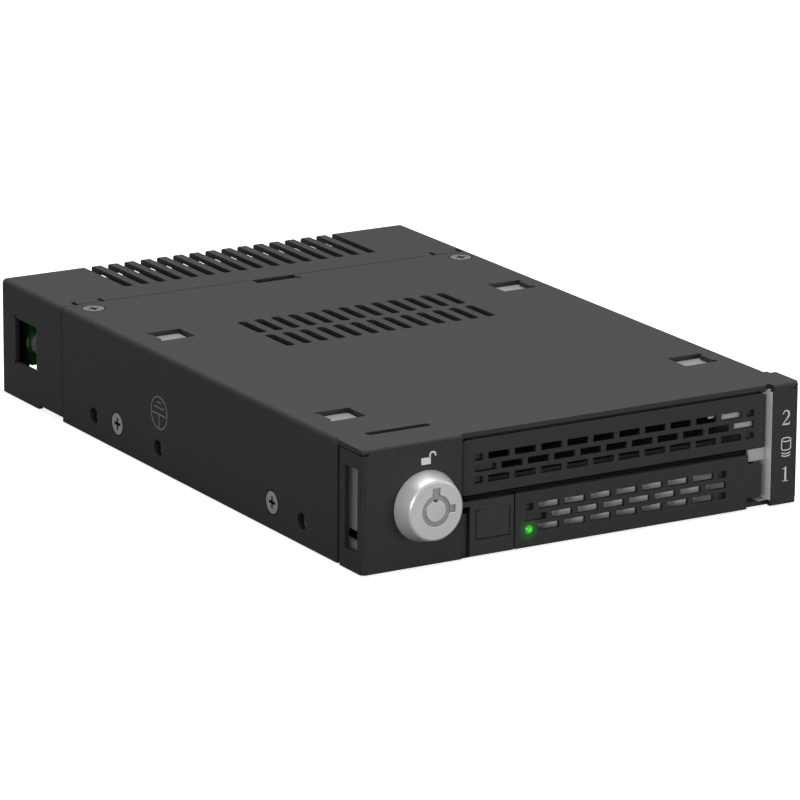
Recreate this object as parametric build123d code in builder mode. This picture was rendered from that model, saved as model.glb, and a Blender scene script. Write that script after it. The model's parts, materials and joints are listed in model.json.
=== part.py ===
"""Two-bay hot swap drive cage that fills one 3.5 inch drive bay, as separate pieces, in millimetres.

Frame: +X to the right seen from the front, +Y from the front to the back, +Z up.
Origin: middle of the width, on the plane of the front panels and on the underside.
"""

from build123d import *
import os

os.makedirs("parts", exist_ok=True)

# Whole body: the outline of a 3.5 inch drive
body_width = 101.6
body_height = 25.4
body_depth = 155.4
cover_sheet = 1.0
inner_sheet = 0.8
cover_bend = 1.1
half_body = body_width / 2

# Front bezel, folded from the top cover
left_overhang = 0.2
right_overhang = 1.4
bezel_left_x = -half_body - left_overhang
bezel_right_x = half_body + right_overhang
bezel_depth = 8.7
groove_end = 9.9
left_panel_width = 22.6
right_panel_width = 5.3
left_panel_edge = left_panel_width - half_body
right_panel_edge = half_body - right_panel_width
top_edge_setback = 1.0
bottom_edge_setback = 1.5
slit_y = (1.8, 6.7)
slit_z = (4.0, body_height - 4.2)
bezel_relief = 0.25

# Seam between the top cover and the rear cover
rear_length = 28.6
seam_y = body_depth - rear_length
seam_gap = 0.3
rear_return = 4.0
rear_bend = 0.7
rear_strip_height = 6.0

# Vents, windows and slots in the top
feature_centre_x = 0.8
vent_width = 2.1
vent_nip = 0.5
vent_length = 10.0
vent_row_gap = 2.0
mid_vent_pitch = 4.08
mid_vent_count = 13
mid_vent_start = seam_y - 51.4
rear_vent_pitch = 4.07
rear_vent_count = 16
rear_vent_start = body_depth - 19.8
rear_vent_drop = 4.4
window_width = 7.5
window_length = 7.0
window_left_x = 5.8 - half_body
window_right_x = half_body - 4.75 - window_width
window_starts = (21.4, seam_y - 35.0)
window_relief = 1.2
lock_slot_x = (6.5 - half_body, 21.1 - half_body)
lock_slot_y = (9.1, 11.0)
seam_notch_x = (3.7 - half_body, 10.0 - half_body, half_body - 8.5, half_body - 1.8)
seam_notch_width = 1.0
seam_notch_depth = 2.2
centre_notch_x = (-4.3, 6.0)
centre_notch_depth = 2.6

# Side holes and screws
first_hole_y = 23.9
hole_spacing = 60.0
mount_hole_y = (first_hole_y, first_hole_y + hole_spacing, seam_y - 14.3)
mount_hole_z = 4.8
mount_hole_radius = 1.8
mount_thread_radius = 1.5
bottom_hole_spacing = (95.25, 44.45)
bottom_hole_x = (body_width - 101.6 + bottom_hole_spacing[0]) / 2
bottom_hole_start = 62.0
bottom_hole_y = (bottom_hole_start, bottom_hole_start + bottom_hole_spacing[1])
bottom_hole_radius = 1.5
side_screw_y = (35.9, seam_y - 24.9)
side_screw_z = 5.65
top_screw_x = (5.3 - half_body, half_body - 4.6)
top_screw_y = seam_y - 4.4
sunk_head_radius = 2.4
screw_shank_radius = 1.4
screw_slack = 0.02
screw_clearance = 0.05
screw_length = 4.4
cross_width = 0.7
cross_length = 2.6
cross_depth = 0.7
pan_head_radius = 2.4
pan_head_height = 1.3
side_window_y = (body_depth - 16.4, body_depth - 6.4)
side_window_z = (8.0, body_height - 7.4)
side_window_relief = 1.0

# Inner walls and the two bays
chamber_wall_x = left_panel_edge
right_wall_x = right_panel_edge
bay_front_y = 1.3
bay_end_y = seam_y - 17.3
flange_start_y = 15.0
divider_z = body_height / 2 - 0.3
divider_start_y = 8.0
slot_length = 4.9
slot_height = 1.4
slot_pitch = 6.15
slot_row_pitch = 2.35
half_slot = 1.85

# Tubular lock in the left front panel
lock_x = 14.3 - half_body
lock_z = body_height / 2 - 0.5
lock_rim_radius = 7.3
lock_face_radius = 6.15
lock_out = 4.0
lock_bore_radius = 3.2
lock_barrel_radius = 5.0
lock_depth = 12.0
plug_clearance = 0.05
post_radius = 2.2
keyway_depth = 3.4
cam_y = 14.0
cam_thickness = 1.2
cam_width = 5.0
cam_reach = body_height / 2 - 3.1
cam_clearance = 0.5

# Tray in the lower bay
tray_base_z = cover_sheet + 0.4
tray_side_clearance = 0.4
tray_wall_top = divider_z - 3.4
tray_front_top = divider_z - 2.8
tray_front_y = 4.0
tray_end_y = bay_end_y - 6.0
block_width = 12.05
block_x = (left_panel_edge + 0.2, left_panel_edge + 0.2 + block_width)
block_z = (0.05, divider_z - 1.0)
block_front_y = 0.3
block_end_y = 9.0
block_gap = 0.15
recess_width = 1.8
button_x = (block_x[0] + 3.3, block_x[1] - 0.9)
button_z = (3.3, divider_z - 3.1)
button_clearance = 0.15

# Swing lever with its pin
lever_x = (block_x[1] + 0.3, right_wall_x - 5.6)
lever_z = (0.05, divider_z - 0.95)
lever_y = (0.3, 1.1)
ear_x_end = right_wall_x - 2.1
ear_z = (2.3, divider_z - 3.0)
pivot_x = right_wall_x - 2.5
pivot_y = 2.4
pin_radius = 0.6
lug_radius = 1.1
pin_clearance = 0.05
led_x = block_x[1] + 3.6
led_z = tray_base_z + 2.25
led_radius = 1.0

# Dust flaps
flap_x = (left_panel_edge + 0.9, right_wall_x - 1.1)
flap_y = (1.3, 2.0)
flap_z = (divider_z, body_height - 1.6)
flap_pin_y = 2.9
flap_pin_z = body_height - 2.2
flap_pin_radius = 0.5
flap_ear_radius = 0.95
lower_flap_drop = 1.05

# Circuit boards at the back
board_thickness = 1.6
link_board_z = body_height / 2 - 1.3
rear_board_y = body_depth - 5.2
rear_board_z = (6.3, body_height - 2.0)
rear_board_half = half_body - 4.5
rear_screw_x = half_body - 6.8
rear_screw_z = 11.0
plug_end_y = body_depth - 0.2


def extent(pair):
    """Length of a stretch given by its two ends."""
    return pair[1] - pair[0]


def middle(pair):
    """Centre of a stretch given by its two ends."""
    return (pair[0] + pair[1]) / 2


def slab(x, y, z, mode=Mode.ADD):
    """Flat sheet or bar between two x, two y and two z values."""
    with BuildSketch(Plane.XY.offset(z[0])) as outline:
        with Locations((middle(x), middle(y))):
            Rectangle(extent(x), extent(y))
    extrude(outline.sketch, amount=extent(z), mode=mode)


def front_plate(x, y, z, corner=0.0, mode=Mode.ADD):
    """Upright sheet across the width, with its corners rounded if asked."""
    with BuildSketch(Plane.XZ.offset(-y[1])) as outline:
        with Locations((middle(x), middle(z))):
            if corner > 0:
                RectangleRounded(extent(x), extent(z), corner)
            else:
                Rectangle(extent(x), extent(z))
    extrude(outline.sketch, amount=extent(y), mode=mode)


def across_hole(places, y, radius, mode=Mode.SUBTRACT):
    """Round hole or rod along Y at each (x, z) place."""
    with BuildSketch(Plane.XZ.offset(-y[1])) as outline:
        with Locations(*places):
            Circle(radius)
    extrude(outline.sketch, amount=extent(y), mode=mode)


def side_hole(places, x, radius, mode=Mode.SUBTRACT):
    """Round hole or rod along X at each (y, z) place."""
    with BuildSketch(Plane.YZ.offset(x[0])) as outline:
        with Locations(*places):
            Circle(radius)
    extrude(outline.sketch, amount=extent(x), mode=mode)


def upright_hole(places, z, radius, mode=Mode.SUBTRACT):
    """Round hole or rod along Z at each (x, y) place."""
    with BuildSketch(Plane.XY.offset(z[0])) as outline:
        with Locations(*places):
            Circle(radius)
    extrude(outline.sketch, amount=extent(z), mode=mode)


def vent_row(count, pitch, y, z):
    """Row of slots along Y with nipped corners, cut through a sheet between two heights."""
    with BuildSketch(Plane.XY.offset(z[0])) as outline:
        with Locations((feature_centre_x, middle(y))):
            with GridLocations(pitch, 1, count, 1):
                Rectangle(vent_width, extent(y))
        chamfer(outline.vertices(), vent_nip)
    extrude(outline.sketch, amount=extent(z), mode=Mode.SUBTRACT)


def wall_vents(x, heights, y):
    """Rows of slots along Y with nipped ends, cut through an upright wall along the bays."""
    count = int(extent(y) / wall_vent_pitch)
    with BuildSketch(Plane.YZ.offset(x[0])) as outline:
        for height in heights:
            with Locations((middle(y), height)):
                with GridLocations(wall_vent_pitch, 1, count, 1):
                    Rectangle(wall_vent_pitch - wall_vent_bridge, wall_vent_height)
        chamfer(outline.vertices(), wall_vent_nip)
    extrude(outline.sketch, amount=extent(x), mode=Mode.SUBTRACT)


def hood(half_width, y, sheet, mode=Mode.ADD):
    """Top and two sides bent from one sheet, open below."""
    with BuildSketch(Plane.XZ.offset(-y[1])) as outline:
        with Locations((0, body_height / 2)):
            Rectangle(2 * half_width, body_height)
        fillet(outline.vertices().group_by(Axis.Y)[-1], cover_bend)
        with Locations((0, (body_height - sheet) / 2)):
            Rectangle(2 * (half_width - sheet), body_height - sheet, mode=Mode.SUBTRACT)
    extrude(outline.sketch, amount=extent(y), mode=mode)


def perforations(rows, y, mode=Mode.SUBTRACT):
    """Rows of rectangular slots through an upright sheet: each row lists its height and x stretches."""
    with BuildSketch(Plane.XZ.offset(-y[1])) as outline:
        for height, stretches in rows:
            for stretch in stretches:
                with Locations((middle(stretch), height)):
                    Rectangle(extent(stretch), slot_height)
    extrude(outline.sketch, amount=extent(y), mode=mode)


def full_slots(first, count):
    """Stretches of a run of equal slots, starting at one x."""
    return [(first + n * slot_pitch, first + n * slot_pitch + slot_length) for n in range(count)]


def keep(builder, name):
    """Label a finished piece and write it."""
    builder.part.label = name
    export_step(builder.part, f"parts/{name}.step")


def sunk_form(head_plane, length, clearance, mode=Mode.ADD):
    """Countersunk head and its shank, or with clearance the hole for them."""
    with BuildSketch(head_plane) as head:
        Circle(sunk_head_radius + clearance)
    extrude(head.sketch, amount=-(sunk_head_radius - screw_shank_radius), taper=45, mode=mode)
    with BuildSketch(head_plane) as shank:
        Circle(screw_shank_radius + clearance - screw_slack)
    extrude(shank.sketch, amount=-length, mode=mode)


# Places worked out from the sizes above
inner_top = body_height - cover_sheet
inner_half = half_body - cover_sheet
rail_outer = inner_half - cover_sheet
rail_inner = rail_outer - inner_sheet
roof_z = inner_top - inner_sheet
side_screw_planes = [Plane((side * half_body, y, side_screw_z), x_dir=(0, 1, 0), z_dir=(side, 0, 0))
                     for side in (-1, 1) for y in side_screw_y]
top_screw_planes = [
    Plane((x, top_screw_y, body_height), x_dir=(1, 0, 0), z_dir=(0, 0, 1)) for x in top_screw_x]

# Top cover: roof, sides and the two front panels with their flanges, one folded sheet
with BuildPart() as top_cover:
    hood(half_body, (groove_end, seam_y), cover_sheet)
    slab((bezel_left_x, bezel_right_x), (0, bezel_depth), (inner_top, body_height))
    slab((-half_body, half_body), (0, groove_end), (inner_top, body_height))
    with BuildSketch(Plane.XY) as bezel_wrap:
        bezel_middle = (bezel_left_x + bezel_right_x) / 2
        full_width = bezel_right_x - bezel_left_x
        with Locations((bezel_middle, bezel_depth / 2)):
            Rectangle(full_width, bezel_depth)
        fillet(bezel_wrap.vertices().group_by(Axis.Y)[0], cover_bend)
        with Locations((bezel_middle, cover_sheet + bezel_depth / 2)):
            Rectangle(full_width - 2 * cover_sheet, bezel_depth, mode=Mode.SUBTRACT)
        with Locations((middle((left_panel_edge, right_panel_edge)), cover_sheet / 2)):
            Rectangle(right_panel_edge - left_panel_edge, cover_sheet, mode=Mode.SUBTRACT)
    extrude(bezel_wrap.sketch, amount=inner_top)
    front_plate((left_panel_edge, right_panel_edge), (0, top_edge_setback), (inner_top, body_height),
                mode=Mode.SUBTRACT)
    # Rounded bend along the front edge of the roof, above each panel
    chamfer(top_cover.edges().filter_by(Axis.X).group_by(Axis.Y)[0].sort_by(Axis.Z)[-2:], 0.35)
    # Small square reliefs where two bends of the sheet meet
    for bezel_side_x in (bezel_left_x, bezel_right_x):
        corner = (bezel_side_x - 1.5, bezel_side_x + 1.5)
        slab(corner, (cover_sheet, groove_end), (inner_top - bezel_relief, inner_top), mode=Mode.SUBTRACT)
        slab(corner, (-0.1, cover_sheet), (inner_top - bezel_relief, inner_top + 0.1), mode=Mode.SUBTRACT)
    front_plate((right_panel_edge - 1.0, right_panel_edge + 0.3), (0, top_edge_setback + 0.7),
                (inner_top - 0.1, body_height), mode=Mode.SUBTRACT)
    # Slit in the left flange, with bare steel behind it
    slab((bezel_left_x - 1, bezel_left_x + cover_sheet + 0.1), slit_y, slit_z, mode=Mode.SUBTRACT)
    # Lock hole in the left panel
    across_hole([(lock_x, lock_z)], (-0.1, cover_sheet + 0.1), lock_barrel_radius)
    for row in range(2):
        row_start = mid_vent_start + row * (vent_length + vent_row_gap)
        vent_row(mid_vent_count, mid_vent_pitch, (row_start, row_start + vent_length),
                 (inner_top, body_height))
    with BuildSketch(Plane.XY.offset(inner_top)) as roof_openings:
        for start in window_starts:
            row = (start, start + window_length)
            for window_x, outer in ((window_left_x, window_left_x),
                                    (window_right_x, window_right_x + window_width)):
                with Locations((window_x + window_width / 2, middle(row))):
                    Rectangle(window_width, window_length)
                with Locations((outer, row[0] + window_relief / 2), (outer, row[1] - window_relief / 2)):
                    Rectangle(window_relief, window_relief)
        with Locations((middle(lock_slot_x), middle(lock_slot_y))):
            SlotOverall(extent(lock_slot_x), extent(lock_slot_y))
        for notch_x in seam_notch_x:
            with Locations((notch_x, seam_y)):
                Rectangle(seam_notch_width, seam_gap)
        with Locations((middle(centre_notch_x), seam_y - centre_notch_depth / 2)):
            Rectangle(extent(centre_notch_x), centre_notch_depth)
        with Locations((centre_notch_x[1], seam_y - centre_notch_depth)):
            Rectangle(1.0, 1.0)
    extrude(roof_openings.sketch, amount=cover_sheet, mode=Mode.SUBTRACT)
    mount_places = [(y, mount_hole_z) for y in mount_hole_y]
    side_hole(mount_places, (-half_body - 1, half_body + 1), mount_hole_radius)
    for head_plane in side_screw_planes + top_screw_planes:
        sunk_form(head_plane, 2 * cover_sheet, screw_clearance, Mode.SUBTRACT)
    # Corners of the right panel are nipped
    for z in (0, body_height):
        with BuildSketch(Plane.XZ.offset(-cover_sheet)) as nip:
            with Locations((bezel_right_x, z)):
                Rectangle(1.0, 2.2, rotation=0)
        extrude(nip.sketch, amount=cover_sheet + 0.1, mode=Mode.SUBTRACT)
keep(top_cover, "top_cover")

# Bottom cover: floor with its side flanges turned up inside the top cover
bottom_end = body_depth - 2.4
bottom_flange_top = 11.0
notch_half = mount_thread_radius + 0.8
with BuildPart() as bottom_cover:
    slab((-inner_half, inner_half), (groove_end + 0.6, bottom_end), (0, cover_sheet))
    slab((-half_body + 2.2, half_body - 2.2), (bottom_edge_setback, groove_end + 0.6), (0, cover_sheet))
    for side in (-1, 1):
        wall = sorted((side * rail_outer, side * inner_half))
        slab(wall, (groove_end + 0.6, seam_y - 1), (0, bottom_flange_top))
    bottom_bends = bottom_cover.edges().filter_by(Axis.Y).group_by(Axis.Z)[0]
    fillet([edge for edge in bottom_bends if abs(edge.center().X) > inner_half - 0.01], 0.8)
    # Notches that keep the flanges clear of the mounting holes
    for hole_y, hole_z in mount_places:
        slab((-half_body, half_body), (hole_y - notch_half, hole_y + notch_half),
             (hole_z - notch_half, bottom_flange_top), mode=Mode.SUBTRACT)
    side_hole([(y, side_screw_z) for y in side_screw_y], (-half_body, half_body), screw_shank_radius)
    upright_hole([(side * bottom_hole_x, y) for side in (-1, 1) for y in bottom_hole_y],
                 (-0.1, cover_sheet), bottom_hole_radius)
keep(bottom_cover, "bottom_cover")

# Rear cover: second hood with the vents that run over its rear bend
rear_start = seam_y + seam_gap
tongue_start = top_screw_y - 4.5
tongue_sheet = inner_sheet
with BuildPart() as rear_cover:
    hood(half_body, (rear_start, body_depth), cover_sheet)
    rear_y = (body_depth - cover_sheet, body_depth)
    front_plate((-inner_half, inner_half), rear_y, (body_height - rear_strip_height, inner_top))
    for side in (-1, 1):
        turn = sorted((side * (inner_half - rear_return), side * inner_half))
        front_plate(turn, rear_y, (1.2, inner_top))
        ear = sorted((side * (inner_half - rear_return), side * (rear_screw_x - 2.0)))
        front_plate(ear, rear_y, (rear_screw_z - 2.5, rear_screw_z + 2.5))
    fillet(rear_cover.edges().filter_by(Axis.X).group_by(Axis.Y)[-1].sort_by(Axis.Z)[-1], rear_bend)
    vent_row(rear_vent_count, rear_vent_pitch, (rear_vent_start, body_depth + vent_nip + 1),
             (body_height - rear_vent_drop, body_height + 0.1))
    # Window in the left side
    slab((-half_body - 1, -half_body + 2), side_window_y, side_window_z, mode=Mode.SUBTRACT)
    window_corners = [(side_window_y[1], z) for z in side_window_z]
    side_hole(window_corners, (-half_body - 1, -inner_half + 0.5), side_window_relief / 2)
    # Lower edge of the sides is cut away at the front
    slab((-half_body - 1, half_body + 1), (rear_start - 1, rear_start + 11), (-1, 0.9), mode=Mode.SUBTRACT)
    for notch_x in seam_notch_x:
        slab((notch_x - seam_notch_width / 2, notch_x + seam_notch_width / 2),
             (rear_start - 1, rear_start + seam_notch_depth), (inner_top, body_height), mode=Mode.SUBTRACT)
    # Tongues that reach under the top cover to its screws
    for x in top_screw_x:
        slab((x - 3.2, x + 2.2), (tongue_start, rear_start + 6), (inner_top - tongue_sheet, inner_top))
    slab((centre_notch_x[0] + 0.3, centre_notch_x[1] - 0.3), (seam_y - 5, rear_start + 4),
         (inner_top - tongue_sheet, inner_top))
    upright_hole([(x, top_screw_y) for x in top_screw_x], (inner_top - 2, inner_top), screw_shank_radius)
keep(rear_cover, "rear_cover")

# Bare steel rails inside the two sides
rail_front_y = 1.4
rail_end_y = seam_y - 11.3
rail_flange = 11.0
rail_gap_z = (5.2, 7.4)


def side_rail(side):
    """One rail: upright wall with a flange under the roof windows."""
    with BuildPart() as rail:
        wall = sorted((side * rail_outer, side * rail_inner))
        slab(wall, (rail_front_y, rail_end_y), (cover_sheet, inner_top))
        flange = sorted((side * rail_outer, side * (rail_outer - rail_flange)))
        slab(flange, (flange_start_y, rail_end_y), (roof_z, inner_top))
        foot = sorted((side * rail_outer, side * (rail_outer - 1.9)))
        slab(foot, (flange_start_y, rail_end_y), (cover_sheet, cover_sheet + inner_sheet))
        slab(wall, (rail_front_y - 1, groove_end), rail_gap_z, mode=Mode.SUBTRACT)
        side_hole(mount_places, wall, mount_thread_radius)
        side_hole([(y, side_screw_z) for y in side_screw_y], wall, screw_shank_radius)
    return rail


left_rail = side_rail(-1)
keep(left_rail, "left_rail")
right_rail = side_rail(1)
keep(right_rail, "right_rail")

# Wall between the lock chamber and the bays
wall_flange = 5.0
wall_flange_y = (20.0, bay_end_y - 5.0)
wall_vent_y = (20.0, bay_end_y - 4.0)
wall_vent_z = (6.5, body_height - 6.9)
wall_vent_pitch = 14.0
wall_vent_bridge = 5.0
wall_vent_height = 3.0
wall_vent_nip = 1.0
cam_slot_y = (cam_y - cam_clearance, cam_y + cam_thickness + cam_clearance)
cam_slot_z = (lock_z - cam_width / 2 - cam_clearance, lock_z + 7.4)
chamber_wall = (chamber_wall_x - inner_sheet, chamber_wall_x)
board_tab_z = (4.0, body_height - 5.4)
board_screw_z = (6.5, body_height - 7.9)
board_screw_x = chamber_wall_x - inner_sheet - 2.6
with BuildPart() as left_bay_wall:
    slab(chamber_wall, (bay_front_y, bay_end_y), (cover_sheet, inner_top))
    flange = (chamber_wall[0] - wall_flange, chamber_wall[1])
    slab(flange, wall_flange_y, (cover_sheet, cover_sheet + inner_sheet))
    slab(flange, wall_flange_y, (roof_z, inner_top))
    slab(flange, (bay_end_y - inner_sheet, bay_end_y), board_tab_z)
    slab(chamber_wall, cam_slot_y, cam_slot_z, mode=Mode.SUBTRACT)
    across_hole([(board_screw_x, z) for z in board_screw_z], (bay_end_y - 1, bay_end_y + 1),
                screw_shank_radius)
    wall_hole_places = [(flap_pin_y, flap_pin_z), (flap_pin_y, divider_z - lower_flap_drop)]
    side_hole(wall_hole_places, chamber_wall, flap_pin_radius + screw_slack)
    wall_vents(chamber_wall, wall_vent_z, wall_vent_y)
keep(left_bay_wall, "left_bay_wall")

# Wall at the right of the bays, with the front lugs that show beside the fronts
right_wall = (right_wall_x, right_wall_x + inner_sheet)
lug_y = (1.5, 1.5 + inner_sheet)
middle_lug_x = (right_wall_x - 4.65, right_wall[1])
middle_lug_z = (divider_z - 2.75, divider_z - 0.2)
floor_lug_x = (right_wall_x - 2.2, right_wall[1])
with BuildPart() as right_bay_wall:
    slab(right_wall, (bay_front_y, flange_start_y), (cover_sheet, inner_top))
    slab(right_wall, (flange_start_y, bay_end_y), (cover_sheet, roof_z))
    front_plate(middle_lug_x, lug_y, middle_lug_z)
    slab(floor_lug_x, (bay_front_y, 9.0), (cover_sheet, cover_sheet + 0.25))
    side_hole(wall_hole_places, right_wall, flap_pin_radius + screw_slack)
    wall_vents(right_wall, wall_vent_z, wall_vent_y)
keep(right_bay_wall, "right_bay_wall")

# Slotted floor of the upper bay, held between the two walls
bay_x = (chamber_wall_x, right_wall_x)
divider_end_y = bay_end_y - 8.0
floor_slot_length = 28.0
floor_slot_width = 2.6
floor_slot_pitch = 9.0
floor_slot_nip = 0.9
floor_slot_rim = 10.0
divider_rim = 2.2
cam_relief = 2.4
with BuildPart() as bay_divider:
    slab(bay_x, (divider_start_y, divider_end_y), (divider_z, divider_z + inner_sheet))
    for rim in ((bay_x[0], bay_x[0] + inner_sheet), (bay_x[1] - inner_sheet, bay_x[1])):
        slab(rim, (flange_start_y + 4, divider_end_y), (divider_z, divider_z + divider_rim))
    slab((bay_x[0], bay_x[0] + cam_relief), cam_slot_y, (divider_z, divider_z + inner_sheet), mode=Mode.SUBTRACT)
    with BuildSketch(Plane.XY.offset(divider_z)) as floor_slots:
        floor_slot_count = int((extent(bay_x) - floor_slot_rim) / floor_slot_pitch)
        with Locations((middle(bay_x), middle((flange_start_y, divider_end_y)))):
            with GridLocations(floor_slot_pitch, floor_slot_length + floor_slot_rim, floor_slot_count, 2):
                Rectangle(floor_slot_width, floor_slot_length)
        chamfer(floor_slots.vertices(), floor_slot_nip)
    extrude(floor_slots.sketch, amount=inner_sheet, mode=Mode.SUBTRACT)
    fillet(bay_divider.edges().filter_by(Axis.X).group_by(Axis.Y)[0].sort_by(Axis.Z)[-1], 0.3)
keep(bay_divider, "bay_divider")

# Tubular lock: fixed body, nut, turning plug and cam
lock_plane_y = -lock_out


def lock_disc(y, radius, mode=Mode.ADD):
    """Disc or rod on the axis of the lock between two depths."""
    across_hole([(lock_x, lock_z)], y, radius, mode=mode)


keyway_top = (1.8, 4.65)
keyway_side = (1.6, 4.4)
keyway_floor = lock_plane_y + keyway_depth
with BuildPart() as lock_body:
    with BuildSketch(Plane(origin=(lock_x, 0, lock_z), x_dir=(1, 0, 0), z_dir=(0, 0, 1))) as lock_profile:
        with BuildLine():
            Polyline(
                (lock_bore_radius, lock_plane_y), (lock_face_radius - 0.35, lock_plane_y),
                (lock_face_radius, lock_plane_y + 0.3), (lock_rim_radius, 0),
                (lock_barrel_radius - 0.02, 0), (lock_barrel_radius - 0.02, lock_depth),
                (lock_bore_radius, lock_depth), close=True)
        make_face()
    revolve(axis=Axis((lock_x, 0, lock_z), (0, 1, 0)))
    front_plate((lock_x - keyway_top[0] / 2, lock_x + keyway_top[0] / 2),
                (lock_plane_y - 0.1, keyway_floor), (lock_z, lock_z + keyway_top[1]), mode=Mode.SUBTRACT)
    front_plate((lock_x, lock_x + keyway_side[1]), (lock_plane_y - 0.1, keyway_floor),
                (lock_z - keyway_side[0] / 2, lock_z + keyway_side[0] / 2), mode=Mode.SUBTRACT)
keep(lock_body, "lock_body")

nut_depth = 2.4
nut_flats = 13.0
with BuildPart() as lock_nut:
    with BuildSketch(Plane.XZ.offset(-(cover_sheet + nut_depth))):
        with Locations((lock_x, lock_z)):
            RegularPolygon(nut_flats / 2, 6, major_radius=False, rotation=30)
            Circle(lock_barrel_radius, mode=Mode.SUBTRACT)
    extrude(amount=nut_depth)
keep(lock_nut, "lock_nut")

tail_radius = 2.4
tail_flat = 1.7
tail_y = (lock_depth, cam_y + cam_thickness)
with BuildPart() as lock_plug:
    lock_disc((keyway_floor, lock_depth), lock_bore_radius - plug_clearance)
    lock_disc((lock_plane_y + 0.1, keyway_floor), post_radius)
    lock_disc(tail_y, tail_radius)
    lock_disc((lock_depth, cam_y), 3.8)
    for side in (-1, 1):
        flat = sorted((lock_x + side * tail_flat, lock_x + side * (tail_radius + 1)))
        front_plate(flat, (cam_y, tail_y[1]), (lock_z - 3, lock_z + 3), mode=Mode.SUBTRACT)
    across_hole([(lock_x, lock_z + post_radius)], (lock_plane_y - 0.1, keyway_floor - 0.8), 0.55)
keep(lock_plug, "lock_plug")

with BuildPart() as lock_cam:
    with BuildSketch(Plane.XZ.offset(-(cam_y + cam_thickness))) as cam_outline:
        with Locations((lock_x, lock_z)):
            Circle(4.2)
        with Locations((lock_x, lock_z + cam_reach / 2)):
            Rectangle(cam_width, cam_reach)
        fillet(cam_outline.vertices().group_by(Axis.Y)[-1], 0.8)
        with Locations((lock_x, lock_z)):
            Circle(tail_radius, mode=Mode.SUBTRACT)
        for side in (-1, 1):
            with Locations((lock_x + side * (tail_flat + 0.5), lock_z)):
                Rectangle(1.0, 2 * tail_radius + 1)
    extrude(amount=cam_thickness)
keep(lock_cam, "lock_cam")

screw_head_height = 1.4
with BuildPart() as cam_screw:
    lock_disc((tail_y[1], tail_y[1] + screw_head_height), 3.0)
    head_end = tail_y[1] + screw_head_height
    for size in ((cross_width, cross_length), (cross_length, cross_width)):
        with BuildSketch(Plane.XZ.offset(-head_end)) as cross:
            with Locations((lock_x, lock_z)):
                Rectangle(*size)
        extrude(cross.sketch, amount=cross_depth, mode=Mode.SUBTRACT)
keep(cam_screw, "cam_screw")

# Tray: floor, two sides and a pierced front wall from one sheet
tray_x = (chamber_wall_x + tray_side_clearance, right_wall_x - tray_side_clearance)
tray_floor = (tray_base_z, tray_base_z + inner_sheet)
front_wall_y = (tray_front_y, tray_front_y + inner_sheet)
front_wall_x = (block_x[1] + block_gap, tray_x[1])
hump_y = (cam_slot_y[0] - 4.5, cam_slot_y[1] + 4.0)
hump_top = divider_z - 1.9
drive_hole_radius = 1.6
drive_hole_y = (29.0, tray_end_y - 18.0)
tray_slot_width = 11.0
tray_slot_pitch = 18.0
tray_slot_rim = 16.0
air_hole_pitch = 11.5
tray_lug_z = ((ear_z[0] + 1.2, ear_z[0] + 2.0), (ear_z[1] - 2.0, ear_z[1] - 1.2))
with BuildPart() as tray_frame:
    slab(tray_x, (tray_front_y, tray_end_y), tray_floor)
    for wall in ((tray_x[0], tray_x[0] + inner_sheet), (tray_x[1] - inner_sheet, tray_x[1])):
        wall_start_y = block_end_y + 0.2 if wall[0] < 0 else tray_front_y
        slab(wall, (wall_start_y, tray_end_y), (tray_base_z, tray_wall_top))
        side_hole([(y, tray_base_z + 3.8) for y in drive_hole_y], wall, drive_hole_radius)
    slab((tray_x[0], tray_x[0] + inner_sheet), (block_end_y + 0.2, hump_y[1]), (tray_base_z, hump_top))
    slab((tray_x[0], tray_x[0] + inner_sheet), cam_slot_y, (lock_z - cam_width / 2 - 0.6, hump_top),
         mode=Mode.SUBTRACT)
    front_plate(front_wall_x, front_wall_y, (tray_base_z, tray_front_top))
    # The floor is cut back for the end block
    slab((tray_x[0] - 1, front_wall_x[0]), (tray_front_y - 1, block_end_y), (0, tray_front_top),
         mode=Mode.SUBTRACT)
    # Cut-outs that let air through the front wall
    with BuildSketch(Plane.XZ.offset(-front_wall_y[1])) as air_holes:
        air_hole_count = int(extent(front_wall_x) / air_hole_pitch)
        with Locations((middle(front_wall_x), tray_front_top - 1.5)):
            with GridLocations(air_hole_pitch, 1, air_hole_count, 1):
                Rectangle(5.0, 1.0)
        with Locations((led_x, led_z)):
            Circle(led_radius + 0.2)
    extrude(air_holes.sketch, amount=inner_sheet, mode=Mode.SUBTRACT)
    # Two lugs that hold the pivot pin of the lever
    for lug_z in tray_lug_z:
        with BuildSketch(Plane.XY.offset(lug_z[0])) as lug:
            with Locations((pivot_x, middle((pivot_y, tray_front_y)))):
                Rectangle(2 * lug_radius, tray_front_y - pivot_y)
            with Locations((pivot_x, pivot_y)):
                Circle(lug_radius)
        extrude(lug.sketch, amount=extent(lug_z))
        upright_hole([(pivot_x, pivot_y)], lug_z, pin_radius + 0.02)
    with BuildSketch(Plane.XY.offset(tray_base_z)) as lightening:
        tray_slot_count = int((extent(tray_x) - tray_slot_rim) / tray_slot_pitch)
        with Locations((middle(tray_x), middle((block_end_y, tray_end_y)))):
            with GridLocations(tray_slot_pitch, 1, tray_slot_count, 1):
                Rectangle(tray_slot_width, extent((block_end_y, tray_end_y)) - 2 * floor_slot_rim)
        chamfer(lightening.vertices(), 3.0)
    extrude(lightening.sketch, amount=inner_sheet, mode=Mode.SUBTRACT)
keep(tray_frame, "tray_frame")

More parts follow.
